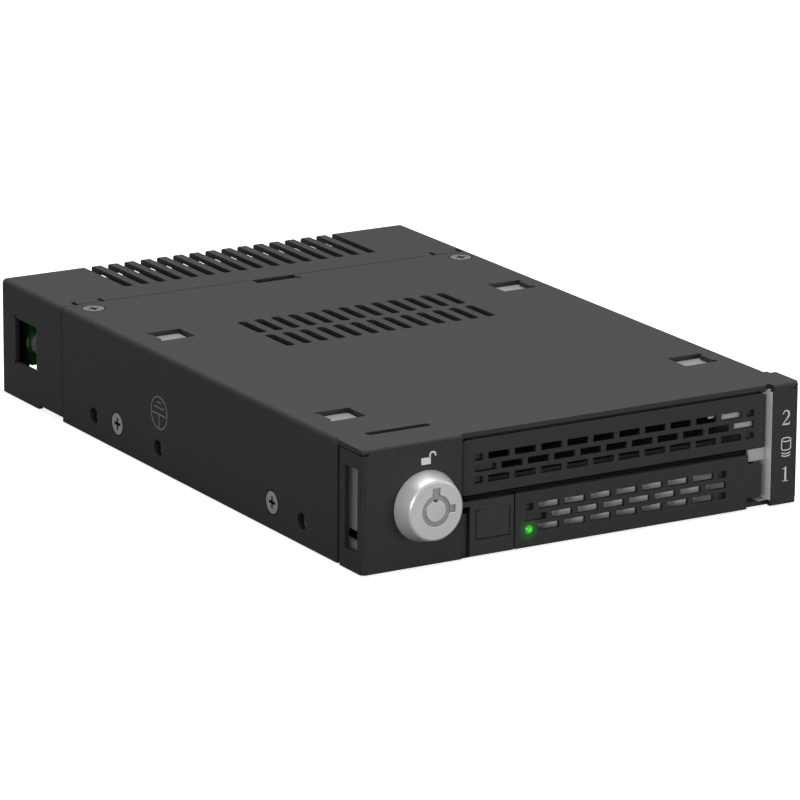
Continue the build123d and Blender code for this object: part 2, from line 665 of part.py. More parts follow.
# End block with the finger recess and the bore of the release button
bore_end_y = block_end_y - 1.2
block_face_end = block_front_y + 1.9
stem_radius = 1.2
with BuildPart() as end_block:
    slab(block_x, (block_front_y, block_face_end), block_z)
    slab(block_x, (block_face_end, block_end_y), (tray_base_z, tray_front_top))
    slab((block_x[0] - 1, block_x[0] + recess_width), (block_front_y - 1, 6.0),
         (block_z[0] - 1, block_z[1] - 1.0), mode=Mode.SUBTRACT)
    slab((block_x[0] - 1, block_x[1] + 1), (bottom_edge_setback - 0.35, block_end_y + 1),
         (block_z[0] - 1, cover_sheet + 0.4), mode=Mode.SUBTRACT)
    front_plate((button_x[0] - button_clearance, button_x[1] + button_clearance),
                (block_front_y - 1, bore_end_y),
                (button_z[0] - button_clearance, button_z[1] + button_clearance), mode=Mode.SUBTRACT)
    across_hole([(middle(button_x), middle(button_z))], (bore_end_y - 1, block_end_y + 1), stem_radius + 0.05)
keep(end_block, "end_block")

button_back_y = 4.6
with BuildPart() as release_button:
    front_plate(button_x, (block_front_y, button_back_y), button_z)
    across_hole([(middle(button_x), middle(button_z))], (button_back_y, bore_end_y + 0.6), stem_radius,
                mode=Mode.ADD)
    fillet(release_button.edges().group_by(Axis.Y)[0], 0.25)
keep(release_button, "release_button")

spring_wire = 0.3
spring_turns = 3
spring_y = (button_back_y + spring_wire + 0.02, bore_end_y - spring_wire - 0.02)
with BuildPart() as button_spring:
    with BuildLine() as coil:
        Helix(extent(spring_y) / spring_turns, extent(spring_y), stem_radius + spring_wire + 0.15,
              center=(middle(button_x), spring_y[0], middle(button_z)), direction=(0, 1, 0))
    with BuildSketch(Plane(origin=coil.line @ 0, z_dir=coil.line % 0)):
        RegularPolygon(spring_wire, 4)
    sweep()
keep(button_spring, "button_spring")

# Perforated lever with an ear that folds back round the pivot pin
lever_slot_x = lever_x[0] + 2.4
lever_slot_count = int((lever_x[1] - lever_slot_x - slot_length) / slot_pitch)
lever_end_slot = lever_slot_x + lever_slot_count * slot_pitch - slot_pitch + slot_length - half_slot
staggered = full_slots(lever_slot_x + slot_pitch / 2, lever_slot_count - 1)
lever_rows = (
    (divider_z - 4.1, [(lever_slot_x, lever_slot_x + half_slot)] + staggered
     + [(lever_end_slot, lever_end_slot + half_slot)]),
    (divider_z - 6.4, full_slots(lever_slot_x, lever_slot_count)),
    (divider_z - 8.6, staggered + [(lever_end_slot, lever_end_slot + half_slot)]))
tongue_z = (ear_z[0] + 2.6, ear_z[1] - 1.7)
lever_lug_z = ((ear_z[0] + 0.2, ear_z[0] + 1.0), (ear_z[1] - 1.0, ear_z[1] - 0.2))
with BuildPart() as lever:
    front_plate(lever_x, lever_y, lever_z)
    front_plate((lever_x[1] - 1, ear_x_end), lever_y, ear_z)
    fillet(lever.edges().filter_by(Axis.Y).group_by(Axis.X)[-1], 0.6)
    perforations(lever_rows, lever_y)
    across_hole([(led_x, led_z)], lever_y, led_radius)
    for lug_z in lever_lug_z:
        with BuildSketch(Plane.XY.offset(lug_z[0])) as lug:
            with Locations((pivot_x, middle((pivot_y, lever_y[1])))):
                Rectangle(2 * lug_radius, pivot_y - lever_y[1])
            with Locations((pivot_x, pivot_y)):
                Circle(lug_radius)
            with Locations((ear_x_end + 1, middle(lever_y))):
                Rectangle(2, 10, mode=Mode.SUBTRACT)
        extrude(lug.sketch, amount=extent(lug_z))
        upright_hole([(pivot_x, pivot_y)], lug_z, pin_radius + pin_clearance)
    # Top and bottom rims folded back, which stiffen the lever
    slab((lever_x[0] + 1.0, middle_lug_x[0] - 4.5), (lever_y[1], lever_y[1] + 1.0),
         (lever_z[1] - inner_sheet, lever_z[1]))
    # Catch tongue that enters the end block
    slab((lever_x[0] + 0.2, lever_x[0] + 1.0), (lever_y[1], tray_front_y - 0.6), tongue_z)
keep(lever, "lever")

with BuildPart() as lever_pin:
    upright_hole([(pivot_x, pivot_y)], (ear_z[0] + 0.1, ear_z[1] - 0.1), pin_radius, mode=Mode.ADD)
keep(lever_pin, "lever_pin")

with BuildPart() as led_lens:
    across_hole([(led_x, led_z)], (lever_y[0] - 0.3, lever_y[1] + 1.2), led_radius - 0.02, mode=Mode.ADD)
    chamfer(led_lens.edges().group_by(Axis.Y)[0], 0.4)
keep(led_lens, "led_lens")

with BuildPart() as light_pipe:
    across_hole([(led_x, led_z)], (lever_y[1] + 1.6, front_wall_y[1] + 0.3), led_radius - 0.05, mode=Mode.ADD)
    across_hole([(led_x, led_z)], (front_wall_y[0] - 0.8, front_wall_y[0]), led_radius + 0.6, mode=Mode.ADD)
keep(light_pipe, "light_pipe")

# Dust flap of the upper bay, hanging from its pin under the roof
flap_slot_x = flap_x[0] + 2.8
flap_slot_count = int((extent(flap_x) - 2.0) / slot_pitch)
flap_end_slot = flap_slot_x + (flap_slot_count - 1) * slot_pitch + slot_length - half_slot
half_row = [(flap_slot_x, flap_slot_x + half_slot), (flap_end_slot, flap_end_slot + half_slot)]
half_row = half_row + full_slots(flap_slot_x + slot_pitch / 2, flap_slot_count - 1)
flap_top_rim = 3.85
flap_bottom_rim = 2.8
flap_row_count = int((extent(flap_z) - flap_top_rim - flap_bottom_rim) / slot_row_pitch + 1.01)
flap_rows = [(flap_z[1] - flap_top_rim - n * slot_row_pitch,
              full_slots(flap_slot_x, flap_slot_count) if n % 2 else half_row) for n in range(flap_row_count)]
with BuildPart() as upper_flap:
    front_plate(flap_x, flap_y, flap_z, corner=0.6)
    perforations(flap_rows, flap_y)
    for ear in ((flap_x[0], flap_x[0] + 0.7), (flap_x[1] - 0.7, flap_x[1])):
        with BuildSketch(Plane.YZ.offset(ear[0])) as ear_outline:
            with Locations((flap_pin_y, flap_pin_z)):
                Circle(flap_ear_radius)
            with Locations((middle((flap_y[1], flap_pin_y)), flap_pin_z)):
                Rectangle(flap_pin_y - flap_y[1], 2 * flap_ear_radius)
        extrude(ear_outline.sketch, amount=extent(ear))
        side_hole([(flap_pin_y, flap_pin_z)], ear, flap_pin_radius + pin_clearance)
keep(upper_flap, "upper_flap")

pin_x = (chamber_wall[0] - 0.4, right_wall[1] + 0.4)
with BuildPart() as upper_flap_pin:
    side_hole([(flap_pin_y, flap_pin_z)], pin_x, flap_pin_radius, mode=Mode.ADD)
keep(upper_flap_pin, "upper_flap_pin")

# Dust flap of the lower bay, folded up flat over the tray
lower_flap_thickness = 0.7
lower_pin_z = divider_z - lower_flap_drop
lower_flap_z = (lower_pin_z - lower_flap_thickness / 2, lower_pin_z + lower_flap_thickness / 2)
lower_flap_reach = 10.0
with BuildPart() as lower_flap:
    slab((flap_x[0], right_wall_x - 0.3), (flap_pin_y + 0.3, flap_pin_y + lower_flap_reach), lower_flap_z)
    slab((flap_x[0], right_wall_x - 0.3), (flap_pin_y - 0.35, flap_pin_y + 0.4), lower_flap_z)
    side_hole([(flap_pin_y, lower_pin_z)], pin_x, flap_pin_radius + screw_slack - pin_clearance, mode=Mode.ADD)
    with BuildSketch(Plane.XY.offset(lower_flap_z[0])) as flap_slots:
        with Locations((middle(bay_x), flap_pin_y + lower_flap_reach / 2 + 0.8)):
            with GridLocations(slot_pitch, slot_row_pitch, flap_slot_count, 2):
                Rectangle(slot_length, slot_height)
    extrude(flap_slots.sketch, amount=lower_flap_thickness, mode=Mode.SUBTRACT)
keep(lower_flap, "lower_flap")

# Circuit boards: one across the bays, one joining it to the board at the back
backplane_x = (chamber_wall[0] - wall_flange, right_wall[1] + 0.4)
backplane_y = (bay_end_y, bay_end_y + board_thickness)
backplane_z = (cover_sheet + 0.4, body_height - 2.2)
cable_gap_x = (right_wall_x - 16.5, right_wall_x - 5.5)
rear_board_span = (rear_board_y, rear_board_y + board_thickness)
with BuildPart() as backplane_board:
    front_plate(backplane_x, backplane_y, backplane_z)
    across_hole([(board_screw_x, z) for z in board_screw_z], backplane_y, screw_shank_radius)
    for gap_z in (divider_z + 5.3, divider_z - 5.7):
        front_plate(cable_gap_x, backplane_y, (gap_z - 2.6, gap_z + 2.6), mode=Mode.SUBTRACT)
keep(backplane_board, "backplane_board")

link_board_width = 42.0
with BuildPart() as link_board:
    slab((-link_board_width / 2, link_board_width / 2), (backplane_y[1], rear_board_span[0]),
         (link_board_z, link_board_z + board_thickness))
keep(link_board, "link_board")

with BuildPart() as rear_board:
    front_plate((-rear_board_half, rear_board_half), rear_board_span, rear_board_z)
    across_hole([(side * rear_screw_x, rear_screw_z) for side in (-1, 1)], rear_board_span, screw_shank_radius)
keep(rear_board, "rear_board")

# Receptacles that the drives plug into, one to a bay
drive_plug_y = (backplane_y[0] - 5.0, backplane_y[0])
drive_plug_middle = middle(bay_x) - 2.65
drive_plug_width = 38.0
drive_plug_x = (drive_plug_middle - drive_plug_width / 2, drive_plug_middle + drive_plug_width / 2)
drive_plug_height = 4.8
lower_plug_z = tray_base_z + 1.4
bay_step = divider_z + inner_sheet - cover_sheet


def drive_receptacle(low_z):
    """Receptacle with its power and data mouths, open to the front."""
    with BuildPart() as receptacle:
        front_plate(drive_plug_x, drive_plug_y, (low_z, low_z + drive_plug_height))
        chamfer(receptacle.edges().filter_by(Axis.X).group_by(Axis.Y)[0], 0.4)
        slot_z = (low_z + 1.9, low_z + 3.1)
        mouth_y = (drive_plug_y[0] - 1, drive_plug_y[1] - 0.8)
        front_plate((drive_plug_x[0] + 2.0, drive_plug_x[0] + 23.0), mouth_y, slot_z, mode=Mode.SUBTRACT)
        front_plate((drive_plug_x[1] - 12.0, drive_plug_x[1] - 2.0), mouth_y, slot_z, mode=Mode.SUBTRACT)
    return receptacle


lower_receptacle = drive_receptacle(lower_plug_z)
keep(lower_receptacle, "lower_receptacle")
upper_receptacle = drive_receptacle(lower_plug_z + bay_step)
keep(upper_receptacle, "upper_receptacle")

# Plugs that face the back: two for data and one for power
rear_plug_y = (rear_board_span[1], plug_end_y)
rear_plug_z = (rear_screw_z - 2.4, rear_screw_z + 3.6)
plug_wall = 0.9


def rear_plug(centre_x, plug_width):
    """Shrouded plug, open to the back, with its contact tongue."""
    with BuildPart() as plug:
        stretch = (centre_x - plug_width / 2, centre_x + plug_width / 2)
        front_plate(stretch, rear_plug_y, rear_plug_z, corner=0.4)
        inside_x = (stretch[0] + plug_wall, stretch[1] - plug_wall)
        inside_z = (rear_plug_z[0] + plug_wall, rear_plug_z[1] - plug_wall)
        front_plate(inside_x, (rear_plug_y[0] + 0.8, plug_end_y), inside_z, mode=Mode.SUBTRACT)
        tongue_x = (inside_x[0] + 0.9, inside_x[1] - 0.9)
        front_plate(tongue_x, (rear_plug_y[0] + 0.4, plug_end_y - 0.6),
                    (middle(rear_plug_z) - 0.6, middle(rear_plug_z) + 0.6))
    return plug


data_plug_width = 14.6
data_plug_gap = 2.4
data_plug_inset = 12.5
data_plug_x = (rear_screw_x - data_plug_inset - data_plug_width - data_plug_gap, rear_screw_x - data_plug_inset)
power_plug_width = 22.6
power_plug_inset = 18.0
power_plug_x = power_plug_inset - rear_screw_x
data_plug_1 = rear_plug(data_plug_x[0], data_plug_width)
keep(data_plug_1, "data_plug_1")
data_plug_2 = rear_plug(data_plug_x[1], data_plug_width)
keep(data_plug_2, "data_plug_2")
power_plug = rear_plug(power_plug_x, power_plug_width)
keep(power_plug, "power_plug")

# Screws, each kind in one group
def cross_recess(plane):
    """Cross cut in the head of a screw."""
    with BuildSketch(plane) as cross:
        Rectangle(cross_length, cross_width)
        Rectangle(cross_width, cross_length)
    extrude(cross.sketch, amount=-cross_depth, mode=Mode.SUBTRACT)


def sunk_screw(head_plane):
    """Countersunk screw whose flat head lies in the given plane."""
    with BuildPart() as screw:
        sunk_form(head_plane, screw_length, 0)
        cross_recess(head_plane)
    return screw.part


with BuildPart() as side_screws:
    add([sunk_screw(head_plane) for head_plane in side_screw_planes])
keep(side_screws, "side_screws")

with BuildPart() as top_screws:
    add([sunk_screw(head_plane) for head_plane in top_screw_planes])
keep(top_screws, "top_screws")


def pan_screw(x, z, head_y, tip_y):
    """Pan head screw along Y, driven from the front or the back."""
    way = 1 if tip_y > head_y else -1
    head_plane = Plane((x, head_y - way * pan_head_height, z), x_dir=(1, 0, 0), z_dir=(0, -way, 0))
    with BuildPart() as screw:
        with BuildSketch(head_plane):
            Circle(pan_head_radius)
        extrude(amount=-pan_head_height)
        with BuildSketch(head_plane.offset(-pan_head_height)):
            Circle(screw_shank_radius - screw_slack)
        extrude(amount=-abs(tip_y - head_y))
    return screw.part


with BuildPart() as backplane_screws:
    add([pan_screw(board_screw_x, z, backplane_y[1], bay_end_y - inner_sheet - 1) for z in board_screw_z])
keep(backplane_screws, "backplane_screws")

with BuildPart() as rear_board_screws:
    add([pan_screw(side * rear_screw_x, rear_screw_z, rear_board_span[0], body_depth - cover_sheet)
         for side in (-1, 1)])
keep(rear_board_screws, "rear_board_screws")

# Spacers between the rear board and the ears of the rear cover
with BuildPart() as board_spacers:
    spacer_places = [(side * rear_screw_x, rear_screw_z) for side in (-1, 1)]
    across_hole(spacer_places, (rear_board_span[1], body_depth - cover_sheet), 2.6, mode=Mode.ADD)
    across_hole(spacer_places, (rear_board_span[1], body_depth - cover_sheet), screw_shank_radius)
keep(board_spacers, "board_spacers")
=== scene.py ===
"""Looks of the two-bay hot swap drive cage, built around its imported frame. Lengths are in metres."""

import json
import math
from functools import partial

import bmesh
import bpy
from mathutils import Matrix, Vector


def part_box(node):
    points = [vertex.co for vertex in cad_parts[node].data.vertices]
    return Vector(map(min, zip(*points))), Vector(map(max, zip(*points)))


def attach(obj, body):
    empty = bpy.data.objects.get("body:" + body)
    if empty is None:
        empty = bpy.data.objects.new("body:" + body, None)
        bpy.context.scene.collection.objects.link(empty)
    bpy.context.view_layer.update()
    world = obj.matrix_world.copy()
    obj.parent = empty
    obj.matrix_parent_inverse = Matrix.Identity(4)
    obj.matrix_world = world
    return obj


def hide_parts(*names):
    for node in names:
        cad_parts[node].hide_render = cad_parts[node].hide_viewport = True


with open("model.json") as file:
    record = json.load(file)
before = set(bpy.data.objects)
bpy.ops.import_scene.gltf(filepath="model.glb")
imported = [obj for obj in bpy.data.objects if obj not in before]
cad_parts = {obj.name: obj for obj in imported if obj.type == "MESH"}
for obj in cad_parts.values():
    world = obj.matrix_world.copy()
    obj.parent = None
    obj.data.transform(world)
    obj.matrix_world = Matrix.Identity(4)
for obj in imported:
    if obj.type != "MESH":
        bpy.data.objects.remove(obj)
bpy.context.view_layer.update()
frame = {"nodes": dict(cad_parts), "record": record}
nodes = frame["nodes"]

MM = 0.001
TO_RIGHT, TO_BACK, TO_FRONT, UPWARD = (1, 0, 0), (0, 1, 0), (0, -1, 0), (0, 0, 1)

# Camera: place, line of sight, roll and lens that the photograph's straight edges give
CAMERA_PLACE = Vector((-556.056, -856.246, 313.858)) * MM
CAMERA_SIGHT = Vector((0.49527, 0.82591, -0.26940))
CAMERA_ROLL = math.radians(0.403)
CAMERA_LENS = 240.56
SENSOR_WIDTH = 36.0
CLIP = (0.01, 20.0)

# Name, place, size and power of each soft light
OBJECT_MIDDLE = (0.0, 0.075, 0.012)
LIGHTS = (
    ("top_light", (0.1, 0.35, 1.3), (1.2, 1.0), 16.4),
    ("front_left_fill", (-1.1, -0.95, 0.4), (0.5, 0.4), 5.8),
    ("front_right_fill", (0.75, -1.2, 0.15), (0.6, 0.25), 4.0),
)

WHITE = (1.0, 1.0, 1.0, 1.0)
BACKDROP_GLOW = 1.05
AMBIENT_GLOW = 0.42
FLOOR_SIZE = 8.0
FLOOR_DROP = 0.0004
FLOOR_GLOW = 0.82
FLOOR_BOUNCE = 0.2


def middle(node):
    """Middle of a node's box."""
    low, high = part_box(node)
    return (Vector(low) + Vector(high)) / 2


def grey(level):
    """Colour without a tint."""
    return (level, level, level)


def add_camera():
    """Camera at the photograph's viewing angle."""
    data = bpy.data.cameras.new("camera")
    data.lens = CAMERA_LENS
    data.sensor_width = SENSOR_WIDTH
    data.clip_start, data.clip_end = CLIP
    camera = bpy.data.objects.new("camera", data)
    bpy.context.scene.collection.objects.link(camera)
    turn = CAMERA_SIGHT.to_track_quat("-Z", "Y").to_matrix().to_4x4()
    camera.matrix_world = Matrix.Translation(CAMERA_PLACE) @ turn @ Matrix.Rotation(CAMERA_ROLL, 4, "Z")
    bpy.context.scene.camera = camera


def add_lights():
    """Large soft light from above, with fills at the front left and the front right."""
    for name, place, size, power in LIGHTS:
        data = bpy.data.lights.new(name, "AREA")
        data.shape = "RECTANGLE"
        data.size, data.size_y = size
        data.energy = power
        light = bpy.data.objects.new(name, data)
        bpy.context.scene.collection.objects.link(light)
        light.location = place
        light.rotation_euler = (Vector(OBJECT_MIDDLE) - Vector(place)).to_track_quat("-Z", "Y").to_euler()


def seen_mix(tree, seen, unseen, out, kind):
    """Mix of what the camera sees and what only lights the object."""
    path = tree.nodes.new("ShaderNodeLightPath")
    mix = tree.nodes.new("ShaderNodeMixShader")
    tree.links.new(path.outputs["Is Camera Ray"], mix.inputs["Fac"])
    tree.links.new(unseen.outputs[kind], mix.inputs[1])
    tree.links.new(seen.outputs[kind], mix.inputs[2])
    tree.links.new(mix.outputs["Shader"], out.inputs["Surface"])


def add_world():
    """White surroundings, which light the object less than they show."""
    world = bpy.data.worlds.new("studio")
    world.use_nodes = True
    tree = world.node_tree
    ambient = tree.nodes["Background"]
    backdrop = tree.nodes.new("ShaderNodeBackground")
    for background, glow in ((ambient, AMBIENT_GLOW), (backdrop, BACKDROP_GLOW)):
        background.inputs["Color"].default_value = WHITE
        background.inputs["Strength"].default_value = glow
    seen_mix(tree, backdrop, ambient, tree.nodes["World Output"], "Background")
    bpy.context.scene.world = world
    bpy.context.scene.view_settings.view_transform = "Standard"


def add_floor():
    """Plain pale floor that takes a soft shadow and sends little light back up."""
    mesh = bpy.data.meshes.new("floor")
    half = FLOOR_SIZE / 2
    corners = [(-half, -half), (half, -half), (half, half), (-half, half)]
    mesh.from_pydata([(x, y, -FLOOR_DROP) for x, y in corners], [], [(0, 1, 2, 3)])
    floor = bpy.data.objects.new("floor", mesh)
    bpy.context.scene.collection.objects.link(floor)
    pale = Shader("pale_floor")
    pale.set(Roughness=0.9, Specular_IOR_Level=0.0, Emission_Color=WHITE, Emission_Strength=FLOOR_GLOW)
    pale.colour(pale.noise(8.0, 2.0), grey(0.56), grey(0.58))
    dim = pale.node("ShaderNodeBsdfDiffuse", Color=(*grey(FLOOR_BOUNCE), 1.0))
    seen_mix(pale.tree, pale.surface, dim, pale.tree.nodes["Material Output"], 0)
    mesh.materials.append(pale.material)


# Sockets of a mix node that is set to colours
MIX_FACTOR, MIX_FIRST, MIX_SECOND, MIX_RESULT = 0, 6, 7, 2


class Shader:
    """One node-based material, with short calls for its nodes and links."""

    def __init__(self, name):
        self.material = bpy.data.materials.new(name)
        self.material.use_nodes = True
        self.tree = self.material.node_tree
        self.surface = self.tree.nodes["Principled BSDF"]

    def set(self, **values):
        """Constants on the surface shader; underscores in a name stand for spaces."""
        for name, value in values.items():
            self.surface.inputs[name.replace("_", " ")].default_value = value

    def node(self, kind, **inputs):
        """New node with constants on its inputs."""
        made = self.tree.nodes.new(kind)
        for name, value in inputs.items():
            made.inputs[name.replace("_", " ")].default_value = value
        return made

    def link(self, source, target):
        """Join an output to an input."""
        self.tree.links.new(source, target)

    def place(self):
        """Coordinates of the object itself."""
        return self.node("ShaderNodeTexCoord").outputs["Object"]

    def along(self, axis):
        """Place along one axis of the object."""
        axes = self.node("ShaderNodeSeparateXYZ")
        self.link(self.place(), axes.inputs["Vector"])
        return axes.outputs[axis]

    def noise(self, scale, detail=3.0, roughness=0.6, stretch=None):
        """Noise in object space, stretched along the axes if asked."""
        place = self.place()
        if stretch:
            mapping = self.node("ShaderNodeMapping")
            mapping.inputs["Scale"].default_value = stretch
            self.link(place, mapping.inputs["Vector"])
            place = mapping.outputs["Vector"]
        noise = self.node("ShaderNodeTexNoise", Scale=scale, Detail=detail, Roughness=roughness)
        self.link(place, noise.inputs["Vector"])
        return noise.outputs["Fac"]

    def math(self, operation, *values):
        """One operation on outputs of other nodes."""
        made = self.node("ShaderNodeMath")
        made.operation = operation
        for i, value in enumerate(values):
            self.link(value, made.inputs[i])
        return made.outputs["Value"]

    def spread(self, value, start, end, low=0.0, high=1.0, interpolation="LINEAR"):
        """Value that goes from low to high while another goes from start to end."""
        made = self.node("ShaderNodeMapRange", From_Min=start, From_Max=end, To_Min=low, To_Max=high)
        made.interpolation_type = interpolation
        self.link(value, made.inputs["Value"])
        return made.outputs["Result"]

    def nearness(self, centre, near, far):
        """One inside the near radius around a point, falling to nought at the far radius."""
        gap = self.node("ShaderNodeVectorMath")
        gap.operation = "DISTANCE"
        self.link(self.place(), gap.inputs[0])
        gap.inputs[1].default_value = centre
        return self.spread(gap.outputs["Value"], near, far, 1.0, 0.0, "SMOOTHSTEP")

    def ramp(self, factor, stops):
        """Colour ramp between (place, colour) stops."""
        ramp = self.node("ShaderNodeValToRGB")
        elements = ramp.color_ramp.elements
        while len(elements) < len(stops):
            elements.new(0.5)
        for element, (place, colour) in zip(elements, stops):
            element.position = place
            element.color = (*colour, 1.0)
        self.link(factor, ramp.inputs["Fac"])
        return ramp.outputs["Color"]

    def colour(self, factor, dark, light, low=0.3, high=0.7):
        """Base colour that wanders between two values."""
        self.link(self.ramp(factor, [(low, dark), (high, light)]), self.surface.inputs["Base Color"])

    def overlay(self, factor, colour):
        """Constant colour over the base colour, as far as the factor goes."""
        base = self.surface.inputs["Base Color"]
        mix = self.node("ShaderNodeMix")
        mix.data_type = "RGBA"
        mix.inputs[MIX_SECOND].default_value = (*colour, 1.0)
        self.link(factor, mix.inputs[MIX_FACTOR])
        self.link(base.links[0].from_socket, mix.inputs[MIX_FIRST])
        self.link(mix.outputs[MIX_RESULT], base)

    def roughness(self, factor, low, high):
        """Roughness that wanders between two values."""
        self.link(self.spread(factor, 0.0, 1.0, low, high), self.surface.inputs["Roughness"])

    def relief(self, factor, depth, strength=1.0, edge=None):
        """Bump from a factor, over edges softened by a small radius."""
        bump = self.node("ShaderNodeBump", Strength=strength, Distance=depth)
        self.link(factor, bump.inputs["Height"])
        if edge:
            bevel = self.node("ShaderNodeBevel", Radius=edge)
            bevel.samples = 6
            self.link(bevel.outputs["Normal"], bump.inputs["Normal"])
        self.link(bump.outputs["Normal"], self.surface.inputs["Normal"])


def powder_coat(name="powder_coat"):
    """Matt black powder coat with a fine grain."""
    shader = Shader(name)
    shader.set(Roughness=0.55, Specular_IOR_Level=0.42)
    shader.colour(shader.noise(900.0, 2.0), grey(0.017), grey(0.023))
    shader.roughness(shader.noise(220.0, 3.0), 0.5, 0.6)
    shader.relief(shader.noise(2200.0, 2.0, 0.5), 0.00005, 0.3, edge=0.00018)
    return shader


LENS_LOW, LENS_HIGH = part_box("led_lens")
LENS_RADIUS = (LENS_HIGH[0] - LENS_LOW[0]) / 2


def lens_nearness(shader, near, far):
    """Nearness to the middle of the status light's front."""
    centre = middle("led_lens")
    return shader.nearness((centre.x, LENS_LOW[1], centre.z), near, far)


# Painted glow of the status light on the lever's coat: its faint and its full green, and how far it reaches
HALO_FAINT = (0.0, 0.008, 0.0)
HALO_GREEN = (0.0, 0.055, 0.0)
HALO_FAR = 3.6 * MM


def lit_powder_coat():
    """The same coat with a painted green glow round the status light, as emission, for the light it throws
    on the lever.
    """
    shader = powder_coat("lit_powder_coat")
    halo = lens_nearness(shader, LENS_RADIUS, HALO_FAR)
    # Painted glow: green emission that falls off round the status light
    tint = shader.ramp(halo, [(0.0, grey(0.0)), (0.5, HALO_FAINT), (1.0, HALO_GREEN)])
    shader.link(tint, shader.surface.inputs["Emission Color"])
    shader.set(Emission_Strength=1.0)
    return shader


# Dark and light colour, and metallic share, of the zinc-plated sheets
BARE_ZINC = ((0.31, 0.31, 0.3), (0.37, 0.37, 0.36), 0.3)
# The tray's copy is much lighter than the bare sheet: painted light on the tray seen through the lever's
# slots and on the wall lip
LIT_TRAY_ZINC = ((0.74, 0.74, 0.73), (0.82, 0.82, 0.81), 0.1)
WALL_ZINC = ((0.4, 0.4, 0.39), (0.46, 0.46, 0.45), 0.1)
# The bay divider's copy is darker and more metallic: painted shade inside the upper bay
SHADED_DIVIDER_ZINC = (grey(0.2), grey(0.27), 0.9)
# Painted highlight colour of the right bay wall's inner face
LIT_ZINC = (0.82, 0.82, 0.81)


def zinc_sheet(name, dark, light, metallic):
    """Zinc-plated sheet with faint rolling marks."""
    shader = Shader(name)
    shader.set(Metallic=metallic, Roughness=0.4)
    shader.colour(shader.noise(60.0, 4.0), dark, light)
    shader.roughness(shader.noise(400.0, 3.0, stretch=(1.0, 0.05, 1.0)), 0.36, 0.5)
    shader.relief(shader.noise(1500.0, 2.0, stretch=(1.0, 0.04, 1.0)), 0.00002, 0.25, edge=0.0001)
    return shader


WALL_SHEET = 0.8 * MM
WALL_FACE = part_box("right_bay_wall")[1][0] - WALL_SHEET
WALL_FADE = (0.3 * MM, 0.1 * MM)


def wall_steel():
    """Sheet of the right bay wall, with a painted highlight on its inner face between the fronts."""
    shader = zinc_sheet("wall_steel", *WALL_ZINC)
    # Painted highlight over the wall's inner face
    face = shader.spread(shader.along("X"), WALL_FACE - WALL_FADE[0], WALL_FACE - WALL_FADE[1])
    shader.overlay(face, LIT_ZINC)
    return shader


# The tapped holes behind the cover's side holes: their places along and up the rails, and the
# radii between which their painted shade ends
HOLE_PLACES = ((23.9, 4.8), (83.9, 4.8), (112.5, 4.8))
HOLE_SHADE = (1.9 * MM, 2.3 * MM)


def rail_steel():
    """Sheet of the rails, with painted shade in and round its tapped holes."""
    shader = zinc_sheet("rail_steel", *BARE_ZINC)
    shades = [shader.nearness((x, y * MM, z * MM), *HOLE_SHADE)
              for x in (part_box("left_rail")[0][0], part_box("right_rail")[1][0]) for y, z in HOLE_PLACES]
    painted_hole_shade = shades[0]
    for shade in shades[1:]:
        painted_hole_shade = shader.math("MAXIMUM", painted_hole_shade, shade)
    # Painted shade over the holes
    shader.overlay(painted_hole_shade, grey(0.012))
    return shader


def satin_nickel(name="satin_nickel", dark=0.73, light=0.81):
    """Fine-turned satin metal of the lock."""
    shader = Shader(name)
    shader.set(Metallic=0.45, Roughness=0.32)
    shader.colour(shader.noise(120.0, 3.0), grey(dark), grey(light))
    shader.roughness(shader.noise(700.0, 3.0), 0.28, 0.38)
    shader.relief(shader.noise(3000.0, 2.0), 0.00002, 0.2, edge=0.00015)
    return shader


def bright_zinc():
    """Pins, nuts and hidden screws."""
    shader = Shader("bright_zinc")
    shader.set(Metallic=0.7, Roughness=0.32)
    shader.colour(shader.noise(300.0, 3.0), grey(0.5), (0.6, 0.6, 0.59))
    shader.relief(shader.noise(2000.0, 2.0), 0.00002, 0.3, edge=0.00008)
    return shader


RECESS_DEPTH = 0.12 * MM


def screw_zinc(name, axis, face, dark, light):
    """Bright screw heads with painted shade in their cross recesses.

    The face is how far from the middle the heads lie along the axis.
    """
    shader = Shader(name)
    shader.set(Metallic=0.6, Roughness=0.35)
    shader.colour(shader.noise(300.0, 3.0), grey(dark), grey(light))
    # Painted shade: dark below the head's face, in the cross recess
    out = shader.math("ABSOLUTE", shader.along(axis))
    shader.overlay(shader.spread(out, face - RECESS_DEPTH / 2, face - RECESS_DEPTH), grey(0.02))
    shader.relief(shader.noise(2000.0, 2.0), 0.00002, 0.3, edge=0.00008)
    return shader


def painted_shade_black():
    """Near-black painted shade for the gaps: on the lower flap, the rear film and the screw rims."""
    shader = Shader("painted_shade_black")
    shader.set(Roughness=0.7, Specular_IOR_Level=0.15)
    shader.colour(shader.noise(500.0, 2.0), grey(0.004), grey(0.008))
    return shader


BLACK_PLASTIC = (grey(0.016), grey(0.022), 0.5)
CONNECTOR_PLASTIC = ((0.01, 0.01, 0.011), (0.02, 0.02, 0.021), 0.4)


def moulded_plastic(name, dark, light, roughness, edge=0.00015):
    """Black moulded plastic with a fine spark-eroded texture."""
    shader = Shader(name)
    shader.set(Roughness=roughness)
    shader.colour(shader.noise(700.0, 2.0), dark, light)
    shader.relief(shader.noise(2200.0, 2.0), 0.00004, 0.3, edge=edge)
    return shader


def circuit_board():
    """Green solder mask over faint copper tracks."""
    shader = Shader("circuit_board")
    shader.set(Roughness=0.32, Coat_Weight=0.2)
    tracks = shader.noise(260.0, 1.0, stretch=(0.3, 1.0, 1.0))
    shader.colour(tracks, (0.004, 0.04, 0.004), (0.007, 0.075, 0.009), 0.48, 0.52)
    shader.relief(tracks, 0.00003, 0.4, edge=0.00008)
    return shader


